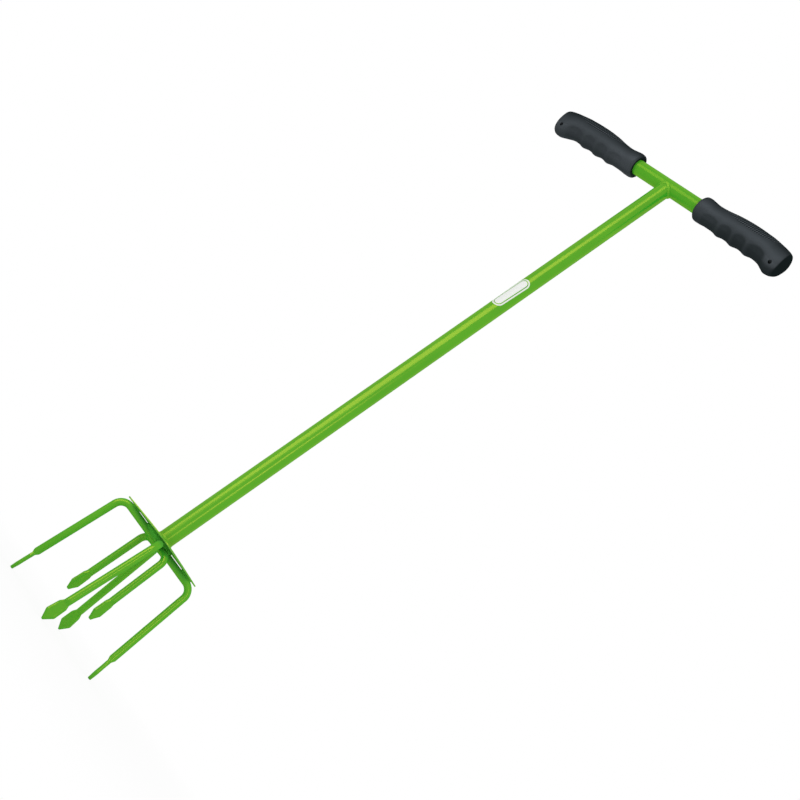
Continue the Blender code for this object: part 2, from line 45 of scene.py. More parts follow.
class Wire:  # a node's output, which takes part in sums
    def __init__(self, finish, socket):
        self.finish = finish
        self.socket = socket

    def maths(self, operation, *values):
        return self.finish.node("Math", {"operation": operation}, list(values))

    def __add__(self, other):
        return self.maths("ADD", self, other)

    def __radd__(self, other):
        return self.maths("ADD", other, self)

    def __sub__(self, other):
        return self.maths("SUBTRACT", self, other)

    def __rsub__(self, other):
        return self.maths("SUBTRACT", other, self)

    def __mul__(self, other):
        return self.maths("MULTIPLY", self, other)

    def __rmul__(self, other):
        return self.maths("MULTIPLY", other, self)

    def above(self, edge, softness):  # 0 below the edge, 1 above it
        settings = {"interpolation_type": "SMOOTHSTEP"}
        inputs = {"Value": self, "From Min": edge - softness, "From Max": edge + softness}
        return self.finish.node("MapRange", settings, inputs)


class Nodes:  # makes nodes in one tree and links them
    def __init__(self, tree):
        self.tree = tree

    def node(self, kind, settings=None, inputs=None, out=0):
        made = self.tree.nodes.new("ShaderNode" + kind)
        for setting, value in (settings or {}).items():
            setattr(made, setting, value)
        pairs = enumerate(inputs) if isinstance(inputs, list) else (inputs or {}).items()
        for key, value in pairs:
            self.put(value, made.inputs[key])
        return Wire(self, made.outputs[out])

    def put(self, value, socket):
        if isinstance(value, Wire):
            self.tree.links.new(value.socket, socket)
        else:
            socket.default_value = value

    def place(self):  # object coordinates, in metres
        return self.node("TexCoord", out=3)

    def grain(self, scale, detail, rough=0.5):
        inputs = {"Vector": self.place(), "Scale": scale, "Detail": detail, "Roughness": rough}
        return self.node("TexNoise", None, inputs)

    def mix(self, factor, first, second):
        return self.node("Mix", {"data_type": "RGBA"}, {0: factor, 6: first, 7: second}, 2)

    def bump(self, height, distance, strength=1.0, under=None):
        inputs = {"Strength": strength, "Distance": distance, "Height": height}
        if under:
            inputs["Normal"] = under
        return self.node("Bump", None, inputs)


class Finish(Nodes):  # a material with one principled shader, or two mixed
    def __init__(self, name, fixed):
        self.material = bpy.data.materials.new(name)
        self.material.use_nodes = True
        super().__init__(self.material.node_tree)
        self.shaders = [self.tree.nodes["Principled BSDF"]]
        self.surface = self.tree.nodes["Material Output"].inputs["Surface"]
        for socket, value in fixed.items():
            self.put(value, self.shaders[0].inputs[socket])

    def cover(self, share, kind, fixed):  # mixes a second shader over the first
        over = self.node(kind, None, fixed)
        self.shaders.append(over.socket.node)
        base = Wire(self, self.shaders[0].outputs[0])
        self.put(self.node("MixShader", None, {0: share, 1: base, 2: over}), self.surface)

    def feed(self, socket, wire, every=False):
        for shader in self.shaders if every else self.shaders[:1]:
            self.put(wire, shader.inputs[socket])


def rgba(r, g, b):
    return (r, g, b, 1.0)


greenCoat = {
    "colour": rgba(0.033, 0.395, 0.021),
    "thinColour": rgba(0.058, 0.432, 0.022),
    "deepColour": rgba(0.021, 0.345, 0.019),
    "flakeColour": rgba(1.0, 0.70, 0.10),  # golden flake, which colours the highlights
    "flakeShare": 0.075,
    "rimShare": 0.05,  # more of the flake's gloss towards grazing angles
    "rimEdge": (0.42, 0.16),  # where that starts, and how softly
    "rubColour": rgba(0.22, 0.44, 0.10),
    "soilColour": rgba(0.16, 0.24, 0.07),
    "paintedShadingColour": rgba(0.12, 0.22, 0.055),  # painted shade under the plate
    "cloudScale": 14.0,
    "cloudEdge": (0.5, 0.22),
    "evenness": 0.55,  # share of the plain colour over the film's drift
    "speckScale": 1400.0,
    "speckShare": 0.08,
    "rubScale": 95.0,
    "rubEdge": (0.69, 0.03),
    "soilScale": 220.0,
    "soilEdge": (0.52, 0.10),
    "soilTop": 30.0 * mm,
    "roughness": 0.21,
    "roughnessDrift": 0.08,
    "rubRoughness": 0.25,
    "peelSize": 3.2 * mm,
    "peelHeight": 0.004 * mm,
}


paintedShadingZone = {  # the space under the plate, where shade is painted into the coat
    "height": 144.5 * mm,
    "heightSoftness": 2.5 * mm,
    "halfWidth": 54.0 * mm,
    "widthSoftness": 6.0 * mm,
    "plateSoftness": 0.3 * mm,
}


# 1 where shade is painted: under the plate near the middle, or on the plate's own underside
def paintedShadingMask(x, z, plateFace):
    if plateFace:  # on the plate, that is its underside alone
        rise, slope, bow = plateFace
        return 1.0 - (z - slope * x + bow * x * x).above(rise, paintedShadingZone["plateSoftness"])
    beside = x.maths("ABSOLUTE", x).above(paintedShadingZone["halfWidth"], paintedShadingZone["widthSoftness"])
    return z.above(paintedShadingZone["height"], paintedShadingZone["heightSoftness"]) * (1.0 - beside)


def makeGreen(name, settings, soil=0.0, scuff=0.12, paintedShading=0.0, plateFace=None):
    coat = Finish(name, {"Metallic": 0.0, "Specular IOR Level": 0.0})
    spot = coat.node("SeparateXYZ", None, [coat.place()])
    x, z = [Wire(coat, spot.socket.node.outputs[axis]) for axis in ("X", "Z")]
    rim = coat.node("LayerWeight", None, [0.5], 1).above(*settings["rimEdge"])
    share = settings["flakeShare"] + settings["rimShare"] * rim
    # no flake gloss where shade is painted
    if paintedShading:
        under = paintedShadingMask(x, z, plateFace)
        share = share * (1.0 - under)
    coat.cover(share, "BsdfPrincipled", {
        "Metallic": 1.0,
        "Base Color": settings["flakeColour"],
    })
    cloud = coat.grain(settings["cloudScale"], 3.0)  # slow drift in the film's thickness
    speck = coat.grain(settings["speckScale"], 1.0)  # pigment grain
    thin = cloud.above(*settings["cloudEdge"])
    tone = coat.mix(thin, settings["deepColour"], settings["thinColour"])
    tone = coat.mix(settings["evenness"], tone, settings["colour"])
    tone = coat.mix(settings["speckShare"] * speck, tone, settings["thinColour"])
    # a few dull rubs from handling, and soil near the tips
    rubbed = coat.grain(settings["rubScale"], 6.0, 0.62).above(*settings["rubEdge"]) * scuff
    tone = coat.mix(rubbed, tone, settings["rubColour"])
    if soil:
        low = 1.0 - z.above(settings["soilTop"], settings["soilTop"])
        dust = coat.grain(settings["soilScale"], 5.0, 0.7).above(*settings["soilEdge"]) * low * soil
        tone = coat.mix(dust, tone, settings["soilColour"])
    # painted shade under the plate, and painted light on the plate's own underside
    if paintedShading:
        tone = coat.mix(under * paintedShading, tone, settings["paintedShadingColour"])
    coat.feed("Base Color", tone)
    drift = settings["roughnessDrift"] * (coat.grain(60.0, 4.0) - 0.5)
    coat.feed("Roughness", settings["roughness"] + drift + settings["rubRoughness"] * rubbed, True)
    peel = coat.grain(1.0 / settings["peelSize"], 1.5)
    fine = coat.grain(6.0 / settings["peelSize"], 1.0)
    skin = coat.bump(fine, 0.06 * settings["peelHeight"], 0.6)
    coat.feed("Normal", coat.bump(peel, settings["peelHeight"], 1.0, skin), True)
    return coat.material


gripRubber = {
    "litRubberColour": rgba(0.044, 0.0505, 0.0568),  # painted light: the rubber where it faces the light
    "shadedRubberColour": rgba(0.004, 0.0078, 0.0078),  # painted shade: the rubber where it faces away; the pores are darkened towards it too
    "sheenColour": rgba(0.80, 0.90, 1.0),
    "sheenShare": 0.0155,
    "roughness": 0.50,
    "roughnessDrift": 0.16,
    "bloomScale": 38.0,
    "poreShade": 0.16,
    "grainSize": 0.55 * mm,
    "grainHeight": 0.020 * mm,
}


def makeRubber(name, settings):
    rubber = Finish(name, {"Metallic": 0.0, "Specular IOR Level": 0.0})
    # painted light and shade, one value a vertex, from gripPaintedLight
    litShare = rubber.node("Attribute", {"attribute_name": "paintedGripLight"}, out=2)
    # the sheen is dimmed where shade is painted
    rubber.cover(settings["sheenShare"] * (0.3 + 0.7 * litShare), "BsdfPrincipled", {
        "Metallic": 1.0,
        "Base Color": settings["sheenColour"],
    })
    bloom = rubber.grain(settings["bloomScale"], 4.0, 0.6)  # the grey is patchy
    tone = rubber.mix(litShare * (0.75 + 0.5 * bloom), settings["shadedRubberColour"], settings["litRubberColour"])
    pores = rubber.node("TexVoronoi", {"feature": "F1"}, {
        "Vector": rubber.place(), "Scale": 1.0 / settings["grainSize"]})
    tone = rubber.mix(settings["poreShade"] * pores, tone, settings["shadedRubberColour"])
    rubber.feed("Base Color", tone)
    rubber.feed("Roughness", settings["roughness"] + settings["roughnessDrift"] * (bloom - 0.5), True)
    fine = rubber.grain(3.0 / settings["grainSize"], 2.0)
    skin = rubber.bump(fine, 0.3 * settings["grainHeight"], 0.7)
    rubber.feed("Normal", rubber.bump(pores, settings["grainHeight"], 0.8, skin), True)
    return rubber.material


whiteFilm = {
    "colour": rgba(0.85, 0.87, 0.84),
    "markColour": rgba(0.62, 0.66, 0.58),
    "roughness": 0.38,
    "mottleScale": 700.0,
    "markScale": 120.0,
    "skinScale": 900.0,
    "skinHeight": 0.004 * mm,
}


def makeSticker(name, settings):
    film = Finish(name, {"Metallic": 0.0, "IOR": 1.45, "Specular IOR Level": 0.3})
    mottle = film.grain(settings["mottleScale"], 3.0)
    marks = film.grain(settings["markScale"], 4.0, 0.6).above(0.66, 0.04)  # faint handling marks
    tone = film.mix(0.05 * mottle + 0.12 * marks, settings["colour"], settings["markColour"])
    film.feed("Base Color", tone)
    film.feed("Roughness", settings["roughness"] + 0.12 * mottle)
    film.feed("Normal", film.bump(film.grain(settings["skinScale"], 1.0), settings["skinHeight"], 0.6))
    return film.material


handleCoat = {**greenCoat, "flakeShare": 0.032, "colour": rgba(0.098, 0.425, 0.024)}
rodCoat = {**greenCoat, "rimShare": 0.0, "roughness": 0.17}
beadCoat = {**greenCoat, "roughness": 0.36, "peelHeight": 0.016 * mm}
coatTube = makeGreen("tubeGreenCoat", greenCoat)
coatHandle = makeGreen("handleGreenCoat", handleCoat)
# the rods and the hub get painted shade under the plate
coatRod = makeGreen("rodGreenCoat", rodCoat, soil=0.10, scuff=0.16, paintedShading=0.38)
coatBead = makeGreen("beadGreenCoat", beadCoat)
coatHub = makeGreen("hubGreenCoat", beadCoat, paintedShading=0.30)
softRubber = makeRubber("gripSoftRubber", gripRubber)
stickerFilm = makeSticker("stickerFilm", whiteFilm)
print("finishes made")


def finishPiece(name, bm, material, node=None, sharp=38.0):
    bmesh.ops.recalc_face_normals(bm, faces=bm.faces)
    mesh = bpy.data.meshes.new(name)
    bm.to_mesh(mesh)
    bm.free()
    mesh.shade_smooth()
    mesh.set_sharp_from_angle(angle=math.radians(sharp))
    mesh.materials.append(material)
    piece = bpy.data.objects.new(name, mesh)
    bpy.context.scene.collection.objects.link(piece)
    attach(piece, "root")
    if node:
        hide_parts(node)
    return piece


def carve(piece, bm):  # takes a solid out of a piece
    mesh = bpy.data.meshes.new(piece.name + "Cutter")
    bmesh.ops.recalc_face_normals(bm, faces=bm.faces)
    bm.to_mesh(mesh)
    bm.free()
    cutter = bpy.data.objects.new(mesh.name, mesh)
    bpy.context.scene.collection.objects.link(cutter)
    boolean = piece.modifiers.new("carve", "BOOLEAN")
    boolean.operation = "DIFFERENCE"
    boolean.solver = "EXACT"
    boolean.object = cutter
    bpy.context.view_layer.update()
    carved = piece.evaluated_get(bpy.context.evaluated_depsgraph_get())
    shaped = bpy.data.meshes.new_from_object(carved)
    piece.modifiers.clear()
    old = piece.data
    piece.data = shaped
    bpy.data.meshes.remove(old)
    bpy.data.objects.remove(cutter, do_unlink=True)


def sweep(bm, sides, rings, closed=False):
    # a ring is a function of the angle round it; each one is extruded from the last
    tag = bm.verts.layers.float.new("turn")
    start = bmesh.ops.create_circle(bm, cap_ends=False, segments=sides, radius=1.0)["verts"]
    for vert in start:
        vert[tag] = math.atan2(vert.co.y, vert.co.x)
        vert.co = rings[0](vert[tag])
    edges = list(dict.fromkeys(edge for vert in start for edge in vert.link_edges))
    firstEdges = list(edges)
    for ring in rings[1:]:
        grown = bmesh.ops.extrude_edge_only(bm, edges=edges)["geom"]
        verts = [item for item in grown if isinstance(item, bmesh.types.BMVert)]
        fresh = set(verts)
        edges = [item for item in grown if isinstance(item, bmesh.types.BMEdge)
                 and item.verts[0] in fresh and item.verts[1] in fresh]
        for vert in verts:
            vert.co = ring(vert[tag])
    if closed:
        bmesh.ops.bridge_loops(bm, edges=firstEdges + edges)
        return
    for rim in (firstEdges, edges):
        bmesh.ops.edgeloop_fill(bm, edges=rim)


def eased(knots, x):  # a smooth curve through (x, value) knots
    if x <= knots[0][0]:
        return knots[0][1]
    if x >= knots[-1][0]:
        return knots[-1][1]
    slopes = [(knots[1][1] - knots[0][1]) / (knots[1][0] - knots[0][0])]
    for before, here, after in zip(knots, knots[1:], knots[2:]):
        left = (here[1] - before[1]) / (here[0] - before[0])
        right = (after[1] - here[1]) / (after[0] - here[0])
        slopes.append(0.0 if left * right <= 0 else 2 * left * right / (left + right))
    slopes.append((knots[-1][1] - knots[-2][1]) / (knots[-1][0] - knots[-2][0]))
    i = max(k for k in range(len(knots) - 1) if knots[k][0] <= x)
    span = knots[i + 1][0] - knots[i][0]
    t = (x - knots[i][0]) / span
    return (knots[i][1] * (2 * t**3 - 3 * t**2 + 1) + slopes[i] * span * (t**3 - 2 * t**2 + t)
            + knots[i + 1][1] * (3 * t**2 - 2 * t**3) + slopes[i + 1] * span * (t**3 - t**2))


def straight(knots, x, blur):  # straight runs between knots, with their corners eased
    def value(at):
        for (x0, y0), (x1, y1) in zip(knots, knots[1:]):
            if at <= x1:
                return y0 + (y1 - y0) * max(0.0, at - x0) / (x1 - x0)
        return knots[-1][1]

    steps = 8
    return sum(value(x + blur * (k / steps - 0.5)) for k in range(steps + 1)) / (steps + 1)


def outward(angle):
    return Vector((math.cos(angle), math.sin(angle), 0.0))


def around(angle):
    return Vector((-math.sin(angle), math.cos(angle), 0.0))


tine = {
    "rodDiameter": 8.95 * mm,
    "crossbarHeight": 145.7 * mm,
    "slope": 0.0132,  # rise towards +X
    "bend": 13.6 * mm,
    "spread": 66.8 * mm,
    "splay": 0.062,
    "bladeLength": 29.6 * mm,
    "bladeWidth": 15.1 * mm,
    "bladeWidest": 0.345,
    "bladeShoulder": 13.2 * mm,
    "shoulderAt": 0.85,
    "neckWidth": 8.85 * mm,
    "bladeThickness": 4.5 * mm,
    "fullThicknessAt": 0.25,
    "tipThickness": 4.0 * mm,
    "tipWidth": 2.0 * mm,
    "tipRound": 0.6 * mm,
    "forgeSlope": 4.5 * mm,
    "forgeMargin": 2 * mm,
    "flattening": 7 * mm,  # length over which the round rod turns into the flat blade
    "fullness": 1.35,  # how far the blade's section bulges before it is pressed flat
    "cornerBlur": 1.6 * mm,
    "faceBlur": 1.0 * mm,
    "hammerDepth": 0.12 * mm,
    "hammerScale": 190.0,
    "bladeSteps": 56,
    "bendSteps": 20,
    "sides": 48,
}


def bentPath(corners, bend, spacing=2.5 * mm):
    points = []
    here = corners[0]
    for before, corner, after in zip(corners, corners[1:], corners[2:]):
        into = (corner - before).normalized()
        away = (after - corner).normalized()
        angle = into.angle(away)
        setback = bend * math.tan(angle / 2)
        centre = corner + (away - into).normalized() * (bend / math.cos(angle / 2))
        startOfBend = corner - into * setback
        runs = max(2, round((startOfBend - here).length / spacing))
        points += [here.lerp(startOfBend, k / runs) for k in range(runs)]
        axis = into.cross(away)
        steps = tine["bendSteps"]
        for k in range(steps):
            points.append(centre + Matrix.Rotation(angle * k / steps, 3, axis) @ (startOfBend - centre))
        here = corner + away * setback
    runs = max(2, round((corners[-1] - here).length / spacing))
    points += [here.lerp(corners[-1], k / runs) for k in range(runs + 1)]
    return points


def tineSize(fromTip):  # half-width and half-thickness, and how square the section is
    t = tine
    radius = t["rodDiameter"] / 2
    neck = t["bladeLength"]
    halfWidth = straight([
        (0.0, t["tipWidth"] / 2),
        (t["bladeWidest"] * neck, t["bladeWidth"] / 2),
        (t["shoulderAt"] * neck, t["bladeShoulder"] / 2),
        (neck, t["neckWidth"] / 2),
        (neck + t["forgeSlope"], radius),
    ], fromTip, t["cornerBlur"])
    halfThick = straight([
        (0.0, t["tipThickness"] / 2),
        (t["fullThicknessAt"] * neck, t["bladeThickness"] / 2),
        (neck - t["faceBlur"], t["bladeThickness"] / 2),
        (neck + t["forgeSlope"] - t["faceBlur"], radius),
    ], fromTip, t["faceBlur"])
    flat = 1.0 - min(1.0, max(0.0, (fromTip - neck + t["flattening"]) / t["flattening"]))
    halfRound = radius + (t["fullness"] * halfThick - radius) * flat
    rounding = min(1.0, math.sqrt(max(0.0, fromTip / t["tipRound"]) + 0.45))  # the tip's blunt end
    return halfWidth * rounding, halfThick * rounding, halfRound * rounding


def rodRing(point, across, normal, halfWidth, halfThick, halfRound, seed):
    # a round or oval section, pressed flat where it is thicker than the forged blade
    def ring(angle):
        x = math.cos(angle) * halfWidth
        y = min(halfThick, max(-halfThick, math.sin(angle) * halfRound))
        at = point + across * x + normal * y
        if halfThick < halfRound:  # hammer marks on the forged blade
            at += normal * (tine["hammerDepth"] * noise.noise(at * tine["hammerScale"] + seed))
        return at
    return ring


def rodPiece(name, node, corners, bend, blades, side):
    # blades says which ends of the rod are forged into a leaf
    path = bentPath(corners, bend)
    tips = [end for end, forged in ((corners[0], blades[0]), (corners[-1], blades[1])) if forged]
    reach = tine["bladeLength"] + tine["forgeSlope"] + tine["forgeMargin"]
    dense = [point for point in path if all((point - tip).length > reach for tip in tips)]
    steps = tine["bladeSteps"]
    if blades[0]:
        away = (corners[1] - corners[0]).normalized()
        dense = [corners[0] + away * reach * k / steps for k in range(steps)] + dense
    if blades[1]:
        away = (corners[-2] - corners[-1]).normalized()
        dense = dense + [corners[-1] + away * reach * (steps - 1 - k) / steps for k in range(steps)]
    rings = []
    seed = Vector((len(name), 3.0, 7.0))  # its own hammer marks
    for i, point in enumerate(dense):
        ahead = (dense[min(i + 1, len(dense) - 1)] - dense[max(i - 1, 0)]).normalized()
        across = (side - ahead * side.dot(ahead)).normalized()
        normal = ahead.cross(across)
        fromTip = min((point - tip).length for tip in tips)
        rings.append(rodRing(point, across, normal, *tineSize(fromTip), seed))
    bm = bmesh.new()
    sweep(bm, tine["sides"], rings)
    bmesh.ops.triangulate(bm, faces=[face for face in bm.faces if len(face.verts) > 4])
    return finishPiece(name, bm, coatRod, node, 50.0)


def onClaw(point):  # raises a point of the square claw by the claw's slope
    return point + Vector((0.0, 0.0, tine["slope"] * point.x))


def tineLeg(angle, spread, top, tipHeight, splay, lean):
    corner = onClaw(outward(angle) * spread - down * top)
    direction = down + Vector((tine["slope"], 0.0, 0.0)) + outward(angle) * splay - around(angle) * lean
    return corner, corner + direction * (corner.z - tipHeight)


tines = {
    "outerLean": 0.0857,
    "crossLean": 0.0638,
    "crossDrop": 2.0 * mm,  # how far the inner rods lie below the outer one
    "crossTuck": 3.0 * mm,  # how far from the middle they start
    "frontAngle": -90.4,
    "backAngle": 86.6,
    "shortAngle": -45.0,
    "shortFront": {"spread": 27.5 * mm, "tip": 37.4 * mm},
    "shortBack": {"spread": 24.8 * mm, "tip": 36.1 * mm},
    "shortBend": 11.0 * mm,
    "shortSplay": 0.035,
    "shortLean": 0.005,
    "bladeTurn": -4.5,  # degrees, of the short tines' blades
}


def makeTines():
    top = tine["crossbarHeight"]
    right = tineLeg(0.0, tine["spread"], top, 0.0, tine["splay"], tines["outerLean"])
    left = tineLeg(math.pi, tine["spread"], top, 0.0, tine["splay"], tines["outerLean"])
    rodPiece("outerTineRod", "outer_tine_rod", [left[1], left[0], right[0], right[1]], tine["bend"],
             (True, True), Vector((0.0, 1.0, 0.0)))
    top -= tines["crossDrop"]

    def oneEnded(name, node, degrees, spread, bend, tipHeight, splay, lean, turn):
        angle = math.radians(degrees)
        corner, tip = tineLeg(angle, spread, top, tipHeight, splay, lean)
        inner = onClaw(outward(angle) * tines["crossTuck"] - down * top)
        side = around(angle + math.radians(turn))
        rodPiece(name, node, [inner, corner, tip], bend, (False, True), side)

    for name, node, degrees in (("frontTineRod", "front_tine_rod", tines["frontAngle"]),
                                ("backTineRod", "back_tine_rod", tines["backAngle"])):
        oneEnded(name, node, degrees, tine["spread"], tine["bend"], 0.0, tine["splay"],
                 tines["crossLean"], 0.0)
    for name, node, turned in (("shortFront", "short_front_tine_rod", 0.0),
                               ("shortBack", "short_back_tine_rod", 180.0)):
        own = tines[name]
        oneEnded(name + "TineRod", node, tines["shortAngle"] + turned, own["spread"],
                 tines["shortBend"], own["tip"], tines["shortSplay"], tines["shortLean"],
                 tines["bladeTurn"])


makeTines()
print("tine rods made")


plate = {
    "length": 129.4 * mm,
    "depth": 52.0 * mm,
    "sideSlope": 0.46,
    "thickness": 1.6 * mm,
    "bow": 1.5 * mm,
    "rise": 1.8 * mm,  # above the crossbar, at the middle
    "slope": 0.0169,
    "edge": 0.45 * mm,
    "pointHalfDepth": 0.8 * mm,
    "steps": (96, 16),
    "underFaceRise": 0.5 * mm,  # the underside's painted light ends this far up the edge
}
# painted light: a lighter colour on the plate's underside, which lies in shade
plateCoat = {**greenCoat, "flakeShare": 0.11, "paintedShadingColour": rgba(0.17, 0.50, 0.075)}
plateUnderside = tine["crossbarHeight"] + tine["rodDiameter"] / 2 + plate["rise"]
plateTop = plateUnderside + plate["thickness"]


def plateLevel(x):  # how far the plate at x lies above its middle
    return plate["slope"] * x - plate["bow"] * (2 * x / plate["length"]) ** 2


coatPlate = makeGreen("plateGreenCoat", plateCoat, scuff=0.18, paintedShading=0.85, plateFace=(
    plateUnderside + plate["underFaceRise"], plate["slope"], plate["bow"] * 4 / plate["length"] ** 2))


def plateHalfDepth(x):
    half = plate["length"] / 2
    turn = math.atan(plate["sideSlope"])
    sharpDepth = plate["sideSlope"] * half
    radius = (sharpDepth - plate["depth"] / 2) / (1 / math.cos(turn) - 1)
    if abs(x) < radius * math.sin(turn):
        return plate["depth"] / 2 - radius + math.sqrt(radius**2 - x**2)
    return max(sharpDepth - plate["sideSlope"] * abs(x), plate["pointHalfDepth"])


def makePlate():
    bm = bmesh.new()
    along, across = plate["steps"]
    bmesh.ops.create_grid(bm, x_segments=along, y_segments=across, size=1.0)
    for vert in bm.verts:
        x = vert.co.x * plate["length"] / 2
        vert.co = (x, vert.co.y * plateHalfDepth(x), plateTop + plateLevel(x))
    bmesh.ops.solidify(bm, geom=list(bm.faces), thickness=plate["thickness"])
    rim = [edge for edge in bm.edges  # where the faces meet at over a radian
           if len(edge.link_faces) == 2 and edge.calc_face_angle(0.0) > 1.0]
    bmesh.ops.bevel(bm, geom=rim, offset=plate["edge"], offset_type="OFFSET", segments=3, profile=0.5,
                    affect="EDGES", material=-1, clamp_overlap=True)
    finishPiece("footPlate", bm, coatPlate, "foot_plate", 60.0)


makePlate()
print("foot plate made")


tube = {
    "diameter": 22.0 * mm,
    "wall": 1.5 * mm,
    "handleHeight": 973.3 * mm,
    "handleHalf": 195.0 * mm,
    "handleTurn": -35.9,  # degrees about the shaft
    "seat": 0.3 * mm,
    "cutReach": 60 * mm,
    "sides": 96,
}
handleFrame = (Matrix.Translation((0.0, 0.0, tube["handleHeight"]))
               @ Matrix.Rotation(math.radians(tube["handleTurn"]), 4, "Z"))


def tubeMesh(start, end, outer, inner):  # a pipe along Z
    bm = bmesh.new()
    section = ((inner, start), (outer, start), (outer, end), (inner, end))
    corners = [bm.verts.new((x, 0.0, z)) for x, z in section]
    edges = [bm.edges.new((corners[k], corners[(k + 1) % 4])) for k in range(4)]
    bmesh.ops.spin(bm, geom=corners + edges, cent=(0, 0, 0), axis=(0, 0, 1), dvec=(0, 0, 0),
                   angle=2 * math.pi, steps=tube["sides"], use_merge=True, use_duplicate=False)
    return bm


def barMesh(radius, length):  # a solid bar along Z, with its middle at the origin
    bm = bmesh.new()
    bmesh.ops.create_cone(bm, cap_ends=True, segments=tube["sides"], radius1=radius, radius2=radius,
                          depth=length)
    return bm


def layDown(bm):  # turns what runs along Z to run along the handle
    bmesh.ops.transform(bm, matrix=handleFrame @ Matrix.Rotation(math.pi / 2, 4, "Y"), verts=bm.verts)
    return bm


def makeTubes():
    radius = tube["diameter"] / 2
    inner = radius - tube["wall"]
    bm = tubeMesh(plateTop + tube["seat"], tube["handleHeight"], radius, inner)
    for vert in bm.verts:  # the foot lies along the plate
        if vert.co.z < tube["handleHeight"] / 2:
            vert.co.z += plate["slope"] * vert.co.x
    shaft = finishPiece("shaftTube", bm, coatTube, "shaft_tube")
    carve(shaft, layDown(barMesh(radius + tube["seat"], 2 * tube["cutReach"])))
    half = tube["handleHalf"]
    finishPiece("handleTube", layDown(tubeMesh(-half, half, radius, inner)), coatHandle,
                "handle_tube")


makeTubes()
print("tubes made")


weld = {
    "ripple": 2.1 * mm,
    "rippleHeight": 0.24 * mm,
    "rippleMiddle": 0.6,
    "lumpHeight": 0.22 * mm,
    "lumpScale": 130.0,
    "endSteps": 5,  # over which an open bead's ends are rounded
    "saddleRadius": 2.0 * mm,
    "saddleFlatness": 1.4,  # how far the bead spreads into the corner
    "saddleDrop": 0.8 * mm,
    "saddleTilt": 0.6,
    "saddleSteps": 220,
    "footLeg": 3.6 * mm,
    "footLump": 0.35 * mm,
    "footHollow": 1.15,
    "footInset": 0.1 * mm,
    "footMiddle": 2 * mm,  # from the tube's face, where the ripples are counted
    "footSteps": 190,
    "footSides": 28,
    "hubLeft": 27.6 * mm,
    "hubRight": 18.7 * mm,
    "hubDepth": 13.6 * mm,
    "hubHeight": 6.6 * mm,
    "hubLumps": ((0.10, 3.1), (0.035, 9.0)),  # share of its size, and scale
    "trimGap": 0.05 * mm,
    "plateSteps": 60,
    "plateRadius": 3.2 * mm,
    "leftFromEnd": 9.5 * mm,
    "leftLength": 12.0 * mm,
    "rightFromEnd": 7.5 * mm,
    "rightLength": 18.0 * mm,
    "sides": 20,
}


def beadRing(point, ahead, up, radius, flatness):
    across = ahead.cross(up).normalized() * radius * flatness
    rise = across.cross(ahead).normalized() * radius / flatness
    return lambda angle: point + across * math.cos(angle) + rise * math.sin(angle)


def beadMesh(path, ups, radius, closed=True, flatness=1.0):
    rings = []
    length = 0.0
    count = len(path)
    for i, point in enumerate(path):
        following, before = path[(i + 1) % count], path[i - 1]
        if not closed:
            following, before = path[min(i + 1, count - 1)], path[max(i - 1, 0)]
        ahead = (following - before).normalized()
        length += (following - point).length
        wave = abs(math.sin(math.pi * length / weld["ripple"]))
        lump = noise.noise(point * weld["lumpScale"])
        size = radius + weld["rippleHeight"] * (wave - weld["rippleMiddle"]) + weld["lumpHeight"] * lump
        if not closed:
            share = min(i, count - 1 - i) / weld["endSteps"]
            size *= min(1.0, math.sqrt(share * (2 - min(share, 1.0)) + 0.05) if share < 1 else 1.0)
        rings.append(beadRing(point, ahead, ups[i], size, flatness))
    bm = bmesh.new()
    sweep(bm, weld["sides"], rings, closed=closed)
    return bm


def makeHandleWeld():
    radius = tube["diameter"] / 2
    count = weld["saddleSteps"]
    path, ups = [], []
    for k in range(count):
        angle = 2 * math.pi * k / count
        x, y = radius * math.cos(angle), radius * math.sin(angle)
        drop = math.sqrt((radius + weld["saddleDrop"]) ** 2 - y**2)
        path.append(handleFrame @ Vector((x, y, -drop)))
        ups.append((handleFrame.to_3x3() @ Vector((x, y, -weld["saddleTilt"] * drop))).normalized())
    bm = beadMesh(path, ups, weld["saddleRadius"], flatness=weld["saddleFlatness"])
    finishPiece("handleWeld", bm, coatBead, "handle_weld", 60.0)


def makeFootWeld():
    radius = tube["diameter"] / 2
    count = weld["footSteps"]
    hollow = weld["footHollow"]
    height = plateTop + tube["seat"]
    leg = weld["footLeg"]
    rings = []
    for k in range(count):
        turn = 2 * math.pi * k / count
        wave = abs(math.sin(math.pi * turn * (radius + weld["footMiddle"]) / weld["ripple"]))
        lump = noise.noise(outward(turn) * 3.0 + Vector((0.0, 0.0, 5.0)))
        size = leg + weld["rippleHeight"] * (wave - weld["rippleMiddle"]) + weld["footLump"] * lump

        def ring(angle, turn=turn, size=size):
            # a fillet: flat on the plate, flat on the tube, hollow outside
            share = (angle + math.pi) / (2 * math.pi)
            if share < 0.25:
                reach, rise = size * share / 0.25, 0.0
            elif share < 0.75:
                t = (share - 0.25) / 0.5 * math.pi / 2
                reach, rise = size * (1 - math.sin(t)) ** hollow, size * (1 - math.cos(t)) ** hollow
            else:
                reach, rise = 0.0, size * (1.0 - share) / 0.25
            slope = plate["slope"] * radius * math.cos(turn)
            return outward(turn) * (radius + weld["footInset"] + reach) - down * (height + slope + rise)
        rings.append(ring)
    bm = bmesh.new()
    sweep(bm, weld["footSides"], rings, closed=True)
    finishPiece("shaftFootWeld", bm, coatBead, "shaft_foot_weld", 60.0)


def trimUnderPlate(bm, x):  # cuts away what stands above the plate's underside near x
    fall = 8 * plate["bow"] * x / plate["length"] ** 2
    normal = Vector((fall - plate["slope"], 0.0, 1.0)).normalized()
    place = Vector((x, 0.0, plateUnderside + plateLevel(x) - weld["trimGap"]))
    bmesh.ops.bisect_plane(bm, geom=bm.verts[:] + bm.edges[:] + bm.faces[:], plane_co=place,
                           plane_no=normal, clear_outer=True)
    bmesh.ops.holes_fill(bm, edges=[edge for edge in bm.edges if edge.is_boundary])


